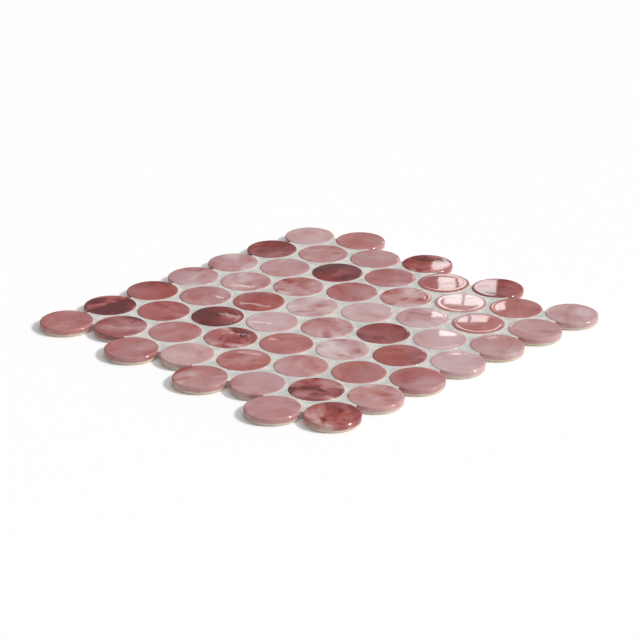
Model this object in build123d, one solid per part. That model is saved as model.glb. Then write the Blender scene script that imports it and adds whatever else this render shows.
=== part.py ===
from build123d import *
import math
import os

# One sheet of circle mosaic: round glazed discs in a honeycomb pattern, held together by the
# filling of their joints. Millimetres, +Z up. The sheet lies on its back in the plane Z = 0,
# centred on the Z axis. Columns of discs run along Y and stand side by side along X.

# One disc, as it is pressed and glazed
disc_diameter = 41.0
disc_thickness = 6.0
top_crown = 0.15
rim_radius = 1.6
band_height = 1.0
side_taper = 0.4
back_chamfer = 0.4
recess_diameter = 29.0
recess_depth = 0.5
recess_flare = 0.6

# The pattern
columns = 8
discs_per_column = 7
joint_width = 2.0

# The joint filling: how far its face lies below the discs, and how far it runs past the outer centres
filling_recess = 0.7
filling_overrun = 1.2

# Six neighbours stand one pitch away from every disc, so columns are closer than the discs in them
pitch = disc_diameter + joint_width
column_step = pitch * math.sin(math.radians(60))
column_stagger = pitch / 2


def disc_centre(column, row):
    """Centre of a disc. Every second column is shifted along by half a pitch."""
    shift = column_stagger * (column % 2 - 0.5)
    x = (column - (columns - 1) / 2) * column_step
    y = (row - (discs_per_column - 1) / 2) * pitch + shift
    return (x, y)


def make_blank():
    """Outer form of a disc: crowned top, rounded rim, straight band, side that tapers to the back."""
    radius = disc_diameter / 2
    rim_height = disc_thickness - top_crown
    with BuildPart() as blank:
        with BuildSketch(Plane.XZ) as half_section:
            with BuildLine():
                TangentArc((0, disc_thickness), (radius, rim_height), tangent=(1, 0))
                Polyline(
                    (radius, rim_height),
                    (radius, rim_height - rim_radius - band_height),
                    (radius - side_taper, 0),
                    (0, 0),
                    (0, disc_thickness),
                )
            make_face()
            rim = half_section.vertices().group_by(Axis.X)[-1].sort_by(Axis.Y)[-1]
            fillet(rim, rim_radius)
        revolve(axis=Axis.Z)
    return blank.part


def make_disc(blank):
    """A blank with its back edge chamfered, and a shallow flared recess that keys the adhesive."""
    recess_radius = recess_diameter / 2
    with BuildPart() as disc:
        add(blank)
        back_edge = disc.edges().filter_by(GeomType.CIRCLE).sort_by(Axis.Z)[0]
        chamfer(back_edge, back_chamfer)
        Cone(
            recess_radius,
            recess_radius - recess_flare,
            recess_depth,
            align=(Align.CENTER, Align.CENTER, Align.MIN),
            mode=Mode.SUBTRACT,
        )
    return disc.part


def make_joint_filling(blank, centres):
    """One web between all discs. Its ends follow the outer discs, so that sheets interlock."""
    first_row = [disc_centre(column, 0) for column in range(columns)]
    last_row = [disc_centre(column, discs_per_column - 1) for column in range(columns)]
    with BuildPart() as filling:
        with BuildSketch():
            with BuildLine():
                Polyline(*first_row, *reversed(last_row), close=True)
            make_face()
            offset(amount=filling_overrun, kind=Kind.INTERSECTION)
        extrude(amount=disc_thickness - filling_recess)
        with Locations(*centres):
            add(blank, mode=Mode.SUBTRACT)
    return filling.part


disc_places = {
    f"disc_column{column + 1}_row{row + 1}": disc_centre(column, row)
    for column in range(columns)
    for row in range(discs_per_column)
}
blank = make_blank()
disc = make_disc(blank)
joint_filling = make_joint_filling(blank, disc_places.values())

os.makedirs("parts", exist_ok=True)
for name, (x, y) in disc_places.items():
    export_step(disc.moved(Location((x, y, 0))), f"parts/{name}.step")
export_step(joint_filling, "parts/joint_filling.step")
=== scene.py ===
"""A sheet of circle mosaic: round glazed discs, held edge to edge by a pale cement joint filling."""

import math

import bmesh
import bpy
import numpy as np
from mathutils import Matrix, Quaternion, Vector


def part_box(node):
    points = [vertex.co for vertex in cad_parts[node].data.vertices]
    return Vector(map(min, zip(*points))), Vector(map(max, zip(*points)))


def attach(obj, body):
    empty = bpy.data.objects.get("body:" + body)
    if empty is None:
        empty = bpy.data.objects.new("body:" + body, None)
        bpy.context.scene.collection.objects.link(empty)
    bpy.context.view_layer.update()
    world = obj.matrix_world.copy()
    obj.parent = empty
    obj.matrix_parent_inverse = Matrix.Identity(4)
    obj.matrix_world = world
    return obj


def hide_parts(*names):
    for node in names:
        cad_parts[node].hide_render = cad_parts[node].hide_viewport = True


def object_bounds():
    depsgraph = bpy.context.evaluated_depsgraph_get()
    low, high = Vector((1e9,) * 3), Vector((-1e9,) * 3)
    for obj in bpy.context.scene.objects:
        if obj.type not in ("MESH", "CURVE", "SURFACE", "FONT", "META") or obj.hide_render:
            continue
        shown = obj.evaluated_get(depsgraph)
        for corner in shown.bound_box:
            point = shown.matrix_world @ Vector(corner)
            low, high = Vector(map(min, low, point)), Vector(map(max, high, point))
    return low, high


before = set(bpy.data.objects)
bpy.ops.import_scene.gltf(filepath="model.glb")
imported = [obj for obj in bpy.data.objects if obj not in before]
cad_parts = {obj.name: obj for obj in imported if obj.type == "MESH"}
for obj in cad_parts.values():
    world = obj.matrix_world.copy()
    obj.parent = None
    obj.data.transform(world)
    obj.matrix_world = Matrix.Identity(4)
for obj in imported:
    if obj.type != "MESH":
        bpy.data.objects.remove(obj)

bl_info = {
    "name": "Circle Mosaic Sheet",
    "version": (1, 0, 0),
    "blender": (4, 5, 0),
    "location": "3D View > Sidebar > Mosaic",
    "description": "Dresses the frame of a circle mosaic sheet with glaze, biscuit and cement",
    "category": "Object",
}

MM = 0.001
CAD_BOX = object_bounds()
FILLING_NODE = "joint_filling"
DISC_NODES = sorted(set(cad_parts) - {FILLING_NODE})
DISC_LOW, DISC_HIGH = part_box(DISC_NODES[0])
FILLING_LOW, FILLING_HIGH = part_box(FILLING_NODE)
DISC_CENTRES = np.array([[corner[:2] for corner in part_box(node)] for node in DISC_NODES]).mean(axis=1)
DISC_PITCH = float(np.linalg.norm(DISC_CENTRES[1] - DISC_CENTRES[0]))

# Directions from a disc to its six neighbours, and the steps round a disc from one to the next
NEIGHBOUR_TURNS = np.radians(30 + 60 * np.arange(6))
SECTOR = math.radians(60)
SECTOR_STEPS = 16

# Rings of points along a disc's half section, part by part
TOP_RINGS, RIM_RINGS, BAND_RINGS, TAPER_RINGS, BACK_RINGS, RECESS_RINGS = 18, 10, 2, 3, 4, 5

# Sine waves in a slow unevenness, and the edges that stay sharp: steeper than this from face to face
WAVE_COUNT = 6
DISC_CREASE = math.radians(32)
FILLING_CREASE = math.radians(40)

# Tones that a kiln load comes out in, from 0, palest, to 1, darkest, and the share of each
FIRED_TONES = (0.27, 0.39, 0.5, 0.61, 0.71, 0.8)
FIRED_SHARES = (0.18, 0.22, 0.26, 0.17, 0.12, 0.05)
TONE_SPREAD = 0.04

# How far a disc's tone drifts: an even disc, and what the most marbled one adds
EVEN_DRIFT, MARBLED_DRIFT = 0.27, 0.9

# Lamps that show in the glaze, in metres and watts: how far behind the sheet they stand, then the places
# across and up, the sizes and the powers of the window's four panes and of the tube
LAMPS_BEHIND = 2.9
WINDOW_ACROSS, WINDOW_UP = 0.3, 1.12
PANE_ACROSS, PANE_UP = 0.033, 0.04
PANE_WIDTH, PANE_HEIGHT, PANE_POWER = 0.056, 0.07, 0.043
TUBE_ACROSS, TUBE_UP = -0.15, 1.2
TUBE_WIDTH, TUBE_HEIGHT, TUBE_POWER = 0.12, 0.005, 0.01
TUBE_ROLL = -28
KEY_STRENGTH = 2.3


def linear(hex_colour):
    """Linear red, green and blue of an sRGB hex colour."""
    encoded = np.array([int(hex_colour[i : i + 2], 16) for i in (1, 3, 5)]) / 255
    decoded = np.where(encoded <= 0.04045, encoded / 12.92, ((encoded + 0.055) / 1.055) ** 2.4)
    return tuple(decoded.tolist())


def length(name, description, default):
    """A length property in metres."""
    return bpy.props.FloatProperty(
        name=name, description=description, default=default, min=0, precision=5, unit="LENGTH"
    )


def angle(name, description, degrees):
    """An angle property, given in degrees."""
    return bpy.props.FloatProperty(
        name=name, description=description, default=math.radians(degrees), subtype="ANGLE"
    )


def colour(name, description, hex_colour):
    """A colour property, given as sRGB and kept linear."""
    return bpy.props.FloatVectorProperty(
        name=name, description=description, default=linear(hex_colour), min=0, max=1, subtype="COLOR"
    )


class DiscSettings(bpy.types.PropertyGroup):
    """Sizes and colours of the glazed discs."""

    radius: length("Radius", "Largest radius of a disc", (DISC_HIGH.x - DISC_LOW.x) / 2)
    thickness: length("Thickness", "Height of a disc", DISC_HIGH.z)
    crown: length("Crown", "Fall of the top from its middle to its edge", 0.15 * MM)
    rim: length("Rim", "Radius of the rounded rim", 1.6 * MM)
    band: length("Band", "Height of the straight band under the rim", 1.0 * MM)
    taper: length("Taper", "How much the side draws in down to the back", 0.4 * MM)
    chamfer: length("Chamfer", "Bevel of the back edge", 0.4 * MM)
    recess_radius: length("Recess Radius", "Radius of the recess in the back", 14.5 * MM)
    recess_flare: length("Recess Flare", "How much the recess draws in to its floor", 0.6 * MM)
    recess_depth: length("Recess Depth", "Depth of the recess in the back", 0.5 * MM)
    wave: length("Glaze Wave", "Height of the slow waves in the fired glaze", 0.008 * MM)
    wave_span: length("Wave Span", "Shortest distance from one wave to the next", 10 * MM)
    roll: length("Glaze Roll", "Height of the roll that the glaze forms inside the rim", 0.05 * MM)
    roll_inset: length("Roll Inset", "From the disc's edge to the roll", 2.6 * MM)
    roll_width: length("Roll Width", "Half width of the roll", 1.1 * MM)
    lean: length("Lean", "Most that one side of a top lies below the other", 0.16 * MM)
    shell: colour("Shell", "Shell white, where the glaze ran off", "#d6c1bf")
    palest: colour("Palest", "Shell pink, where the glaze is thin", "#cbadac")
    pale: colour("Pale", "Pale rose", "#bf9494")
    rose: colour("Rose", "Old rose, the commonest tone", "#b07271")
    brick: colour("Brick", "Brick rose", "#9d504e")
    deep: colour("Deep", "Deep red", "#7f3132")
    oxblood: colour("Oxblood", "Oxblood, where the glaze is thickest", "#5e1c1e")
    biscuit: colour("Biscuit", "Unglazed body on the back and low on the side", "#d9cbb9")
    biscuit_grit: colour("Biscuit Grit", "Darker grit in the unglazed body", "#c9b9a5")
    seed: bpy.props.IntProperty(
        name="Seed", description="Picks tones, waves and runs of the glaze", default=7
    )


class FillingSettings(bpy.types.PropertyGroup):
    """Sizes and colours of the joint filling."""

    recess: length("Recess", "Depth of the filling's edge below the disc tops", 0.7 * MM)
    hollow: length("Hollow", "How far the struck face dips in the middle of a wide joint", 0.3 * MM)
    hollow_span: length("Hollow Span", "Half width of joint that takes most of the dip", 2 * MM)
    unevenness: length("Unevenness", "Height of the slow unevenness of the struck face", 0.1 * MM)
    overrun: length("Overrun", "How far the filling runs past the outer disc centres", 1.2 * MM)
    sink: length("Sink", "How far the filling runs in under the disc's skin", 0.12 * MM)
    cement: colour("Cement", "Middle tone of the cement", "#cdcbc6")
    pale_cement: colour("Laitance", "Paler skin of fine cement along the discs", "#e3dfd8")
    damp: colour("Damp", "Greyer clouds in the wide pockets", "#bcbfba")
    seed: bpy.props.IntProperty(name="Seed", description="Picks the unevenness", default=11)


class StageSettings(bpy.types.PropertyGroup):
    """Floor, light and camera."""

    floor: colour("Floor", "Matt white floor", "#fbfbfb")
    azimuth: angle("Azimuth", "Turn of the camera round the sheet", 45)
    elevation: angle("Elevation", "Rise of the camera above the floor", 22.4)
    distance: length("Distance", "From the camera to the middle of the sheet", 1.83)
    lens: bpy.props.FloatProperty(
        name="Lens", description="Focal length on a 36 mm sensor", default=136, unit="CAMERA"
    )
    key_elevation: angle("Key Elevation", "Rise of the key lamp above the floor", 39)
    key_spread: angle("Key Spread", "Width of the key lamp, which softens the shadow", 11)


def add_node(tree, kind, inputs, output=0, stops=(), **settings):
    """Adds a node with its settings and colour stops, sets or links its inputs, and gives one output."""
    node = tree.nodes.new(kind)
    for name, value in settings.items():
        setattr(node, name, value)
    for place, _ in stops[2:]:
        node.color_ramp.elements.new(place)
    for index, (place, tone) in enumerate(stops):
        node.color_ramp.elements[index].position = place
        node.color_ramp.elements[index].color = (*tone, 1)
    for name, value in inputs.items():
        if isinstance(value, bpy.types.NodeSocket):
            tree.links.new(value, node.inputs[name])
        else:
            node.inputs[name].default_value = value
    return node.outputs[output] if node.outputs else node


def new_material(name):
    """A material without nodes yet, and its node tree."""
    material = bpy.data.materials.new(name)
    material.use_nodes = True
    material.node_tree.nodes.clear()
    return material, material.node_tree


def glaze_material(discs):
    """Reactive glaze, poured over a pressed ceramic biscuit and fired."""
    # That gives the eye soft clouds of rose and oxblood where the glaze lay thick or thin, a wet gloss,
    # and the bare matt body below the glaze's edge
    material, tree = new_material("poured_glaze_on_biscuit")
    flow = add_node(tree, "ShaderNodeUVMap", {}, uv_map="glaze_flow")
    tone = add_node(tree, "ShaderNodeAttribute", {}, "Fac", attribute_name="tone")
    drift = add_node(tree, "ShaderNodeAttribute", {}, "Fac", attribute_name="drift")
    walk = add_node(tree, "ShaderNodeAttribute", {}, "Fac", attribute_name="walk_mm")
    place = add_node(tree, "ShaderNodeTexCoord", {}, "Object")

    # Slow clouds, smudges where the glaze pooled, washes where it ran thin, and faint wisps, all drawn
    # out the way it ran: span in mm, detail, range of noise, and what that range adds to the tone
    run = add_node(tree, "ShaderNodeMapping", {"Vector": flow, "Scale": (0.75, 1, 1)})
    layers = (
        (30, 1.5, 0.1, 0.9, -0.28, 0.28),
        (13, 1.5, 0.5, 0.85, 0, 0.42),
        (17, 1.5, 0.5, 0.85, 0, -0.42),
        (6, 2.5, 0.1, 0.9, -0.08, 0.08),
    )
    spread = 0.0
    for number, (span, detail, low, high, least, most) in enumerate(layers):
        moved = add_node(tree, "ShaderNodeMapping", {"Vector": run, "Location": (5.3 * number, 1.7, 0)})
        grain = {"Vector": moved, "Scale": 1 / (span * MM), "Detail": detail, "Distortion": 0.35}
        cloud = add_node(tree, "ShaderNodeTexNoise", grain, noise_dimensions="2D")
        limits = {"Value": cloud, "From Min": low, "From Max": high, "To Min": least, "To Max": most}
        layer = add_node(tree, "ShaderNodeMapRange", limits, interpolation_type="SMOOTHSTEP")
        spread = add_node(tree, "ShaderNodeMath", {0: spread, 1: layer}, operation="ADD")
    depth = add_node(tree, "ShaderNodeMath", {0: spread, 1: drift, 2: tone}, operation="MULTIPLY_ADD")
    stops = (
        (0.0, discs.shell),
        (0.2, discs.palest),
        (0.34, discs.pale),
        (0.5, discs.rose),
        (0.65, discs.brick),
        (0.78, discs.deep),
        (0.92, discs.oxblood),
    )
    glaze = add_node(tree, "ShaderNodeValToRGB", {"Fac": depth}, stops=stops)

    # Where the kiln was hotter the glaze leans to brick, and where it was cooler, to mauve, over about
    # 50 mm. The middle of the hue's range leaves a colour as it is
    grain = {"Vector": flow, "Scale": 1 / (50 * MM)}
    heat = add_node(tree, "ShaderNodeTexNoise", grain, noise_dimensions="2D")
    limits = {"Value": heat, "From Min": 0.3, "From Max": 0.7, "To Min": 0.4945, "To Max": 0.5055}
    hue = add_node(tree, "ShaderNodeMapRange", limits)
    limits = {"Value": heat, "From Min": 0.3, "From Max": 0.7, "To Min": 0.88, "To Max": 1.12}
    strength = add_node(tree, "ShaderNodeMapRange", limits)
    fired = {"Hue": hue, "Saturation": strength, "Color": glaze}
    glaze = add_node(tree, "ShaderNodeHueSaturation", fired)

    # Over the rounded rim the glaze runs thin within 1.6 mm, so the pale body shows through a little
    rim_start = (discs.radius - discs.rim) / MM
    limits = {"Value": walk, "From Min": rim_start, "From Max": rim_start + 1.6, "To Max": 0.14}
    thin = add_node(tree, "ShaderNodeMapRange", limits, interpolation_type="SMOOTHSTEP")
    mixed = {0: thin, 6: glaze, 7: (*discs.palest, 1)}
    glaze = add_node(tree, "ShaderNodeMix", mixed, 2, data_type="RGBA")

    # The glaze ends low on the side in a line 0.3 mm wide, which wanders by about a millimetre over 7 mm
    wander = add_node(tree, "ShaderNodeTexNoise", {"Vector": place, "Scale": 1 / (7 * MM), "Detail": 2})
    edge = add_node(tree, "ShaderNodeMath", {0: wander, 1: 1.6, 2: walk}, operation="MULTIPLY_ADD")
    edge_start = discs.radius / MM + 3.9
    bare = add_node(
        tree, "ShaderNodeMapRange", {"Value": edge, "From Min": edge_start, "From Max": edge_start + 0.3}
    )
    grit = add_node(tree, "ShaderNodeTexNoise", {"Vector": place, "Scale": 1 / (0.9 * MM), "Detail": 2})
    stops = ((0.35, discs.biscuit_grit), (0.6, discs.biscuit))
    body = add_node(tree, "ShaderNodeValToRGB", {"Fac": grit}, stops=stops)
    skin = add_node(tree, "ShaderNodeMix", {0: bare, 6: glaze, 7: body}, 2, data_type="RGBA")

    gloss = add_node(tree, "ShaderNodeMapRange", {"Value": cloud, "To Min": 0.02, "To Max": 0.045})
    rough = add_node(tree, "ShaderNodeMix", {0: bare, 2: gloss, 3: 0.85}, data_type="FLOAT")
    # Ripples in the glaze, about 2.5 mm apart and drawn out the way it ran, deepest where it drifted most
    drawn = add_node(tree, "ShaderNodeMapping", {"Vector": flow, "Scale": (0.3, 1, 1)})
    grain = {"Vector": drawn, "Scale": 1 / (2.5 * MM), "Detail": 1}
    ripple = add_node(tree, "ShaderNodeTexNoise", grain, noise_dimensions="2D")
    limits = {"Value": drift, "From Min": 0.25, "From Max": 0.75, "To Min": 0.06, "To Max": 0.8}
    force = add_node(tree, "ShaderNodeMapRange", limits)
    bump = add_node(tree, "ShaderNodeBump", {"Height": ripple, "Strength": force, "Distance": 0.02 * MM})
    finish = {"Base Color": skin, "Roughness": rough, "Normal": bump, "IOR": 1.5}
    shader = add_node(tree, "ShaderNodeBsdfPrincipled", finish)
    add_node(tree, "ShaderNodeOutputMaterial", {"Surface": shader})
    return material


def cement_material(filling):
    """Cement joint filling, struck off and sponged."""
    # That gives the eye a chalky, sandy matt grey with a breath of green, cloudy where it dried unevenly,
    # and paler along the discs
    material, tree = new_material("sponged_cement")
    place = add_node(tree, "ShaderNodeTexCoord", {}, "Object")
    inset = add_node(tree, "ShaderNodeAttribute", {}, "Fac", attribute_name="inset_mm")

    # Clouds of about 7 mm, and sand of about 0.7 mm, which is drawn a little coarse so that it shows
    cloud = add_node(tree, "ShaderNodeTexNoise", {"Vector": place, "Scale": 1 / (7 * MM), "Detail": 3})
    sand = add_node(tree, "ShaderNodeTexNoise", {"Vector": place, "Scale": 1 / (0.7 * MM), "Detail": 2})
    stops = ((0.32, filling.damp), (0.52, filling.cement), (0.75, filling.pale_cement))
    base = add_node(tree, "ShaderNodeValToRGB", {"Fac": cloud}, stops=stops)
    # Paler within 0.9 mm of the discs: the colour mixes towards the pale cement, by up to three quarters at
    # a disc
    limits = {"Value": inset, "From Min": 0, "From Max": 0.9, "To Min": 0.75, "To Max": 0}
    fringe = add_node(tree, "ShaderNodeMapRange", limits)
    mixed = {0: fringe, 6: base, 7: (*filling.pale_cement, 1)}
    base = add_node(tree, "ShaderNodeMix", mixed, 2, data_type="RGBA")
    limits = {"Value": sand, "From Min": 0.3, "From Max": 0.7, "To Min": 0.86, "To Max": 1.05}
    grains = add_node(tree, "ShaderNodeMapRange", limits)
    mixed = {0: 1.0, 6: base, 7: grains}
    shade = add_node(tree, "ShaderNodeMix", mixed, 2, data_type="RGBA", blend_type="MULTIPLY")
    rough = add_node(tree, "ShaderNodeMapRange", {"Value": cloud, "To Min": 0.8, "To Max": 0.95})
    bump = add_node(tree, "ShaderNodeBump", {"Height": sand, "Strength": 0.5, "Distance": 0.12 * MM})
    finish = {"Base Color": shade, "Roughness": rough, "Normal": bump, "IOR": 1.45}
    shader = add_node(tree, "ShaderNodeBsdfPrincipled", finish)
    add_node(tree, "ShaderNodeOutputMaterial", {"Surface": shader})
    return material


def rim_foot(discs):
    """Height at which a disc's rounded rim ends and its straight band starts."""
    return discs.thickness - discs.crown - discs.rim


def side_radius(discs, height):
    """Radius of a disc's side at a height: quarter circle of the rim, straight band, straight taper."""
    rise = np.clip(height - rim_foot(discs), 0, discs.rim)
    on_rim = discs.radius - discs.rim + np.sqrt(discs.rim**2 - rise**2)
    below_band = np.clip(1 - height / (rim_foot(discs) - discs.band), 0, 1)
    return np.minimum(on_rim, discs.radius - discs.taper * below_band)


def disc_section(discs):
    """Half section of a disc as rows of radius and height, from the middle of its top to the middle of
    its back, without the two middles: a parabola for the crowned top, a quarter ellipse for the rim,
    straight runs down the band, the taper and the bevel, then in along the back, up the recess and in.
    Gives the rows, and how many of them lie above the back."""
    top_radius = discs.radius - discs.rim
    out = top_radius * np.linspace(0, 1, TOP_RINGS + 1)[1:] ** 0.85
    top = np.column_stack([out, discs.thickness - discs.crown * (out / discs.radius) ** 2])
    turn = np.radians(np.linspace(90, 0, RIM_RINGS + 1)[1:])
    foot = rim_foot(discs)
    rim = np.column_stack([top_radius + discs.rim * np.cos(turn), foot + (top[-1, 1] - foot) * np.sin(turn)])
    band_foot = foot - discs.band
    down_band = np.linspace(foot, band_foot, BAND_RINGS + 1)[1:]
    down_taper = np.linspace(band_foot, discs.chamfer, TAPER_RINGS + 1)[1:]
    heights = np.append(down_band, down_taper)
    side = np.column_stack([side_radius(discs, heights), heights])
    back_edge = discs.radius - discs.taper - discs.chamfer
    recess_floor = discs.recess_radius - discs.recess_flare
    back = np.linspace(back_edge, discs.recess_radius, BACK_RINGS)
    ring = np.column_stack([back, np.zeros(BACK_RINGS)])
    inward = recess_floor * np.linspace(1, 0.2, RECESS_RINGS)
    recess = np.column_stack([inward, np.full(RECESS_RINGS, discs.recess_depth)])
    return np.concatenate([top, rim, side, ring, recess]), len(top) + len(rim) + len(side) + 1


def grid_quads(shape):
    """Quads between the points of many grids, whose first axis counts the grids."""
    index = np.arange(np.prod(shape[:3])).reshape(shape[:3])
    quads = [index[:, :-1, :-1], index[:, 1:, :-1], index[:, 1:, 1:], index[:, :-1, 1:]]
    return np.stack(quads, axis=-1).reshape(-1, 4)


def disc_faces(rings, steps):
    """Quads from ring to ring, then a fan of triangles on the top's middle and one on the back's. The
    vertices are numbered ring by ring, with the two middles last."""
    ring = np.arange(rings - 1)[:, None] * steps
    step = np.arange(steps)
    onward = (step + 1) % steps
    quads = np.stack([ring + step, ring + steps + step, ring + steps + onward, ring + onward], axis=-1)
    last_ring = (rings - 1) * steps
    middle = np.full(steps, rings * steps)
    top_fan = np.stack([middle, step, onward], axis=-1)
    back_fan = np.stack([middle + 1, last_ring + onward, last_ring + step], axis=-1)
    return quads.reshape(-1, 4), top_fan, back_fan


def slow_waves(plan, shortest, longest, draw):
    """Slow waves between -1 and 1: the mean of a few sine waves of random direction, span and phase."""
    turns = draw.uniform(0, 2 * math.pi, WAVE_COUNT)
    spans = draw.uniform(shortest, longest, WAVE_COUNT)
    phases = draw.uniform(0, 2 * math.pi, WAVE_COUNT)
    along = plan[..., :1] * np.cos(turns) + plan[..., 1:2] * np.sin(turns)
    return np.sin(2 * math.pi * along / spans + phases).mean(axis=-1)


def glaze_relief(discs, local, draw):
    """How far a glazed top lies below the plain crown, apart from its roll: slow waves, and a slope to
    one side. It is never negative."""
    waves = 1 + slow_waves(local, discs.wave_span, 2.4 * discs.wave_span, draw)
    way = draw.uniform(0, 2 * math.pi)
    slope = 1 + (local[:, 0] * math.cos(way) + local[:, 1] * math.sin(way)) / discs.radius
    return discs.wave * waves + discs.lean * draw.uniform(0.1, 0.5) * slope


def disc_bake_map(walked, upper, turn, quads, top_fan, back_fan):
    """Flat map of a disc for baking, per face corner: two round patches on the square's diagonal, one of
    top and side, one of the back, each with the way walked along the section as distance from its middle.
    The two radii add up to 0.58 of the square's side, about the most that fits on the diagonal."""
    margin = 0.005
    upper_reach = walked[upper - 1]
    lower_reach = 2 * walked[-1] - walked[-2] - upper_reach
    scale = 0.58 / (upper_reach + lower_reach)
    around = np.column_stack([np.cos(turn), np.sin(turn)])
    upper_middle = margin + upper_reach * scale
    lower_middle = 1 - margin - lower_reach * scale
    from_top = scale * walked[:, None, None] * around
    from_back = scale * (upper_reach + lower_reach - walked)[:, None, None] * around * (1, -1)
    upper_map = np.concatenate([upper_middle + from_top.reshape(-1, 2), np.full((2, 2), upper_middle)])
    lower_map = np.concatenate([lower_middle + from_back.reshape(-1, 2), np.full((2, 2), lower_middle)])
    upper_quads = (upper - 1) * len(turn)
    patches = (
        upper_map[quads[:upper_quads]],
        lower_map[quads[upper_quads:]],
        upper_map[top_fan],
        lower_map[back_fan],
    )
    return np.concatenate([patch.reshape(-1, 2) for patch in patches])


def new_mesh(name, vertices, faces, bake_map, **points):
    """A smooth mesh with its bake map and with named numbers for its vertices."""
    mesh = bpy.data.meshes.new(name)
    mesh.from_pydata(vertices, [], faces)
    mesh.uv_layers.new(name="OFBake").uv.foreach_set("vector", bake_map.astype(np.float32).ravel())
    for attribute, values in points.items():
        layer = mesh.attributes.new(attribute, "FLOAT", "POINT")
        layer.data.foreach_set("value", np.broadcast_to(values, len(vertices)).astype(np.float32))
    mesh.shade_smooth()
    return mesh


def add_piece(mesh, material, node):
    """Puts a finished mesh on the sheet in place of its solid."""
    mesh.materials.append(material)
    piece = bpy.data.objects.new(mesh.name, mesh)
    bpy.context.scene.collection.objects.link(piece)
    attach(piece, "root")
    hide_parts(node)


class MOSAIC_OT_discs(bpy.types.Operator):
    """Build the glazed discs, each with its own tone, waves and run of the glaze"""

    bl_idname = "mosaic.discs"
    bl_label = "Glazed Discs"

    def execute(self, context):
        discs = context.scene.mosaic_discs
        draw = np.random.default_rng(discs.seed)
        count = len(DISC_NODES)
        section, upper = disc_section(discs)
        steps = SECTOR_STEPS * len(NEIGHBOUR_TURNS)
        turn = np.arange(steps) * 2 * math.pi / steps
        rings = np.stack(
            [
                section[:, :1] * np.cos(turn),
                section[:, :1] * np.sin(turn),
                np.repeat(section[:, 1:], steps, axis=1),
            ],
            axis=-1,
        )
        middles = [[0, 0, discs.thickness], [0, 0, discs.recess_depth]]
        plain = np.concatenate([rings.reshape(-1, 3), middles])
        quads, top_fan, back_fan = disc_faces(len(section), steps)
        faces = quads.tolist() + top_fan.tolist() + back_fan.tolist()
        corners = np.concatenate([quads.ravel(), top_fan.ravel(), back_fan.ravel()])

        # The way walked along the section from the top's middle places the glaze's edge
        walked = section[0, 0] + np.cumsum(np.append(0, np.linalg.norm(np.diff(section, axis=0), axis=1)))
        walk_mm = np.append(np.repeat(walked, steps), [0, walked[-1]]) / MM
        bake_map = disc_bake_map(walked, upper, turn, quads, top_fan, back_fan)
        # The roll rises above the plain crown by less than the crown falls there, so the disc's height holds
        on_top = np.clip((plain[:, 2] - rim_foot(discs)) / discs.rim, 0, 1)
        from_roll = np.hypot(plain[:, 0], plain[:, 1]) - (discs.radius - discs.roll_inset)
        roll = discs.roll * np.exp(-((from_roll / discs.roll_width) ** 2)) * (on_top > 0.5)

        # Few discs are strongly marbled, and the pale ones drift less
        tones = draw.choice(FIRED_TONES, count, p=FIRED_SHARES)
        tones += draw.uniform(-TONE_SPREAD, TONE_SPREAD, count)
        drifts = (EVEN_DRIFT + MARBLED_DRIFT * draw.random(count) ** 5) * (0.45 + tones)
        material = glaze_material(discs)
        for node, centre, tone, drift in zip(DISC_NODES, DISC_CENTRES, tones, drifts):
            vertices = plain.copy()
            vertices[:, :2] += centre
            vertices[:, 2] += roll - on_top * glaze_relief(discs, plain, draw)
            name = f"glazed_{node}"
            mesh = new_mesh(name, vertices, faces, bake_map, tone=tone, drift=drift, walk_mm=walk_mm)
            mesh.set_sharp_from_angle(angle=DISC_CREASE)
            run = draw.uniform(0, 2 * math.pi)
            turned = np.array([[math.cos(run), math.sin(run)], [-math.sin(run), math.cos(run)]])
            flow = plain[:, :2] @ turned + draw.uniform(0, 3, 2)
            layer = mesh.uv_layers.new(name="glaze_flow")
            layer.uv.foreach_set("vector", flow[corners].astype(np.float32).ravel())
            add_piece(mesh, material, node)
        return {"FINISHED"}


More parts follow.
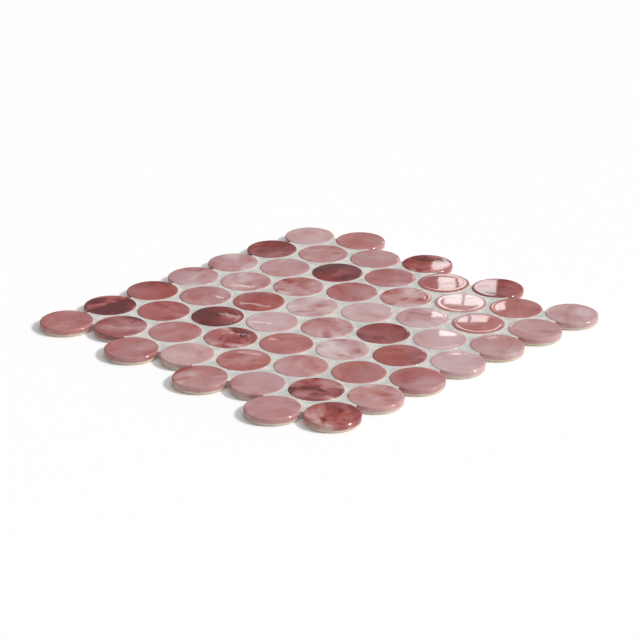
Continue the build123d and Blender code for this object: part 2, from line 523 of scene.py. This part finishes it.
class MOSAIC_OT_filling(bpy.types.Operator):
    """Build the cement web that runs between the discs and holds them"""

    bl_idname = "mosaic.filling"
    bl_label = "Joint Filling"

    def execute(self, context):
        discs = context.scene.mosaic_discs
        filling = context.scene.mosaic_filling
        # The web fills a sector where both of its neighbours are there, and overruns its open ends
        towards = DISC_PITCH * np.column_stack([np.cos(NEIGHBOUR_TURNS), np.sin(NEIGHBOUR_TURNS)])
        places = DISC_CENTRES[:, None] + towards
        there = np.linalg.norm(places[:, :, None] - DISC_CENTRES, axis=-1).min(axis=-1) < DISC_PITCH / 10
        filled = there & np.roll(there, -1, axis=1)
        beyond = math.asin(filling.overrun / discs.radius)
        runs = (
            (filled, 0, SECTOR, SECTOR_STEPS, None),
            (filled & ~np.roll(filled, -1, axis=1), SECTOR, SECTOR + beyond, 2, -1),
            (filled & ~np.roll(filled, 1, axis=1), -beyond, 0, 2, 0),
        )
        patches = []
        for which, first, last, steps, end in runs:
            disc, neighbour = np.nonzero(which)
            turns = NEIGHBOUR_TURNS[neighbour][:, None] + np.linspace(first, last, steps + 1)
            upper, lower = self.strips(discs, filling, DISC_CENTRES[disc], turns)
            patches += [(upper, grid_quads(upper.shape)), (lower, grid_quads(lower.shape))]
            if end is not None:
                patches.append(self.end_caps(upper[:, end], lower[:, end, 1:], end))
        starts = np.cumsum([0] + [points[..., 0].size for points, _ in patches])
        values = np.concatenate([points.reshape(-1, 6) for points, _ in patches])
        faces = [face for (_, group), start in zip(patches, starts) for face in (group + start).tolist()]
        mesh = new_mesh(
            "cement_joint_filling",
            values[:, :3],
            faces,
            values[np.concatenate(faces), 4:],
            inset_mm=values[:, 3] / MM,
        )
        web = bmesh.new()
        web.from_mesh(mesh)
        bmesh.ops.remove_doubles(web, verts=web.verts, dist=0.002 * MM)
        bmesh.ops.recalc_face_normals(web, faces=web.faces)
        web.to_mesh(mesh)
        web.free()
        mesh.set_sharp_from_angle(angle=FILLING_CREASE)
        add_piece(mesh, cement_material(filling), FILLING_NODE)
        return {"FINISHED"}

    def strips(self, discs, filling, centres, turns):
        """Strips of the web round their discs, the upper and the lower part of each as a grid of place,
        inset from the disc and place in the bake map. In plan a strip runs from a disc's side out to the
        line half way to its neighbours, a hexagon about the disc. Its section goes in along the struck
        face, which dips as a parabola, down the disc's side, and out again along the back."""
        from_neighbour = (turns - NEIGHBOUR_TURNS[0] + SECTOR / 2) % SECTOR - SECTOR / 2
        half_way = (DISC_PITCH / 2 / np.cos(from_neighbour))[..., None]
        ways = np.stack([np.cos(turns), np.sin(turns)], axis=-1)[..., None, :]
        middles = centres[:, None, None]

        level = discs.thickness - filling.recess
        contact = side_radius(discs, level) - filling.sink
        out = np.linspace(1, 0, 8) ** 1.2
        face_radius = contact + out * (half_way - contact)
        draw = np.random.default_rng(filling.seed)
        plan = middles + face_radius[..., None] * ways
        uneven = filling.unevenness * slow_waves(plan, 7 * MM, 26 * MM, draw)
        dip = filling.hollow * (1 - np.exp((discs.radius - half_way) / filling.hollow_span))
        face_height = level + uneven - dip * (1 - (1 - out) ** 2)
        face_radius[..., -1] = side_radius(discs, face_height[..., -1]) - filling.sink

        wall = np.array([rim_foot(discs), rim_foot(discs) - discs.band, 0])
        wall_radius = np.broadcast_to(side_radius(discs, wall) - filling.sink, (*turns.shape, 3))
        wall_height = np.broadcast_to(wall, wall_radius.shape)
        foot = wall_radius[..., -1:]
        back_radius = foot + np.linspace(0, 1, 3) * (half_way - foot)

        # In the bake map the walls are rolled out into the discs' holes, and the back has its own corner
        parts = (
            (
                np.concatenate([face_radius, wall_radius], axis=-1),
                np.concatenate([face_height, wall_height], axis=-1),
                np.concatenate([face_radius, wall_radius - (level - wall_height)], axis=-1),
                0.335,
                0.66,
            ),
            (back_radius, np.zeros(back_radius.shape), back_radius, 0.835, 0.32),
        )
        span = max(*(FILLING_HIGH - FILLING_LOW)) + 1 * MM
        grids = []
        for radius, height, rolled_out, middle, size in parts:
            plan = middles + radius[..., None] * ways
            flat = middle + size * (middles + rolled_out[..., None] * ways) / span
            inset = np.maximum(radius - contact, 0)
            grids.append(np.concatenate([plan, height[..., None], inset[..., None], flat], axis=-1))
        return grids

    def end_caps(self, upper, lower, end):
        """Flat faces that close the web's open ends, side by side in a free corner of the bake map."""
        caps = np.concatenate([upper, lower], axis=1)
        count, corners = caps.shape[:2]
        caps[..., 4] = 0.68 + 0.31 * (np.arange(count)[:, None] + caps[..., 3] / (2 * MM)) / count
        caps[..., 5] = 0.01 + 0.025 * caps[..., 2] / MM - 0.155 * end
        return caps, np.arange(count * corners).reshape(count, corners)


class MOSAIC_OT_stage(bpy.types.Operator):
    """Set the floor, the light and the camera"""

    bl_idname = "mosaic.stage"
    bl_label = "Floor, Light and Camera"

    def execute(self, context):
        scene = context.scene
        stage = scene.mosaic_stage
        right = Vector((math.cos(stage.azimuth), math.sin(stage.azimuth), 0))
        away = Vector((-math.sin(stage.azimuth), math.cos(stage.azimuth), 0))
        up = Vector((0, 0, 1))
        self.floor(scene, stage)
        self.sky(scene, right)

        key = self.lamp(scene, "key", "SUN", right - away * 0.15 + up * math.tan(stage.key_elevation))
        key.energy = KEY_STRENGTH
        key.angle = stage.key_spread
        # Small dim lamps behind the sheet, which show in the glaze as a window of four panes and a thin tube
        behind = away * LAMPS_BEHIND
        for column, row in ((-1, -1), (1, -1), (-1, 1), (1, 1)):
            across = right * (WINDOW_ACROSS + PANE_ACROSS * column)
            place = behind + across + up * (WINDOW_UP + PANE_UP * row)
            self.pane(scene, "window_pane", place, PANE_WIDTH, PANE_HEIGHT, PANE_POWER)
        place = behind + right * TUBE_ACROSS + up * TUBE_UP
        self.pane(scene, "tube", place, TUBE_WIDTH, TUBE_HEIGHT, TUBE_POWER, TUBE_ROLL)

        camera = bpy.data.cameras.new("camera")
        camera.sensor_width = 36
        camera.lens = stage.lens
        back = up * math.sin(stage.elevation) - away * math.cos(stage.elevation)
        middle = (CAD_BOX[0] + CAD_BOX[1]) / 2
        scene.camera = self.aim(scene, camera, middle + back * stage.distance, -back)
        scene.view_settings.view_transform = "Standard"
        return {"FINISHED"}

    def floor(self, scene, stage):
        """A flat square, far larger than the sheet, a hair below its back."""
        reach, below = 8, 0.1 * MM
        mesh = bpy.data.meshes.new("floor")
        plan = ((-reach, -reach), (reach, -reach), (reach, reach), (-reach, reach))
        mesh.from_pydata([(x, y, -below) for x, y in plan], [], [(0, 1, 2, 3)])
        material, tree = new_material("matt_white_floor")
        finish = {"Base Color": (*stage.floor, 1), "Roughness": 0.9, "Specular IOR Level": 0.2}
        shader = add_node(tree, "ShaderNodeBsdfPrincipled", finish)
        add_node(tree, "ShaderNodeOutputMaterial", {"Surface": shader})
        mesh.materials.append(material)
        floor = bpy.data.objects.new("floor", mesh)
        scene.collection.objects.link(floor)

    def sky(self, scene, right):
        """Soft light from all round: grey at the horizon, brighter overhead and on the key lamp's side."""
        scene.world = bpy.data.worlds.new("studio")
        scene.world.use_nodes = True
        tree = scene.world.node_tree
        tree.nodes.clear()
        way = add_node(tree, "ShaderNodeTexCoord", {}, "Generated")
        rise = add_node(tree, "ShaderNodeSeparateXYZ", {"Vector": way}, "Z")
        stops = ((0.0, (0.28,) * 3), (0.35, (0.3,) * 3), (1.0, (0.85,) * 3))
        tone = add_node(tree, "ShaderNodeValToRGB", {"Fac": rise}, stops=stops)
        side = add_node(tree, "ShaderNodeVectorMath", {0: way, 1: right}, "Value", operation="DOT_PRODUCT")
        limits = {"Value": side, "From Min": -1, "From Max": 1, "To Min": 0.4, "To Max": 1.6}
        level = add_node(tree, "ShaderNodeMapRange", limits)
        light = add_node(tree, "ShaderNodeBackground", {"Color": tone, "Strength": level})
        add_node(tree, "ShaderNodeOutputWorld", {"Surface": light})

    def pane(self, scene, name, place, width, height, watts, roll=0):
        """A flat lamp that faces the sheet."""
        lamp = self.lamp(scene, name, "AREA", place, roll)
        lamp.shape = "RECTANGLE"
        lamp.size = width
        lamp.size_y = height
        lamp.energy = watts

    def lamp(self, scene, name, kind, place, roll=0):
        """A lamp that faces the middle of the sheet, rolled about its own axis by degrees."""
        lamp = bpy.data.lights.new(name, kind)
        self.aim(scene, lamp, place, -place, roll)
        return lamp

    def aim(self, scene, data, place, ahead, roll=0):
        """Puts a lamp or camera at a place, looking ahead."""
        thing = bpy.data.objects.new(data.name, data)
        thing.location = place
        turn = ahead.to_track_quat("-Z", "Y") @ Quaternion((0, 0, 1), math.radians(roll))
        thing.rotation_euler = turn.to_euler()
        scene.collection.objects.link(thing)
        return thing


class MOSAIC_PT_sheet(bpy.types.Panel):
    """Lists the steps that dress the sheet"""

    bl_idname = "MOSAIC_PT_sheet"
    bl_label = "Circle Mosaic Sheet"
    bl_space_type = "VIEW_3D"
    bl_region_type = "UI"
    bl_category = "Mosaic"

    def draw(self, context):
        for operator in OPERATORS:
            self.layout.operator(operator.bl_idname)


SETTINGS = {"mosaic_discs": DiscSettings, "mosaic_filling": FillingSettings, "mosaic_stage": StageSettings}
OPERATORS = (MOSAIC_OT_discs, MOSAIC_OT_filling, MOSAIC_OT_stage)
CLASSES = (*SETTINGS.values(), *OPERATORS, MOSAIC_PT_sheet)


def register():
    for cls in CLASSES:
        bpy.utils.register_class(cls)
    for name, group in SETTINGS.items():
        setattr(bpy.types.Scene, name, bpy.props.PointerProperty(type=group))


def unregister():
    for name in SETTINGS:
        delattr(bpy.types.Scene, name)
    for cls in reversed(CLASSES):
        bpy.utils.unregister_class(cls)


def main():
    register()
    bpy.ops.mosaic.discs()
    bpy.ops.mosaic.filling()
    bpy.ops.mosaic.stage()


if __name__ == "__main__":
    main()
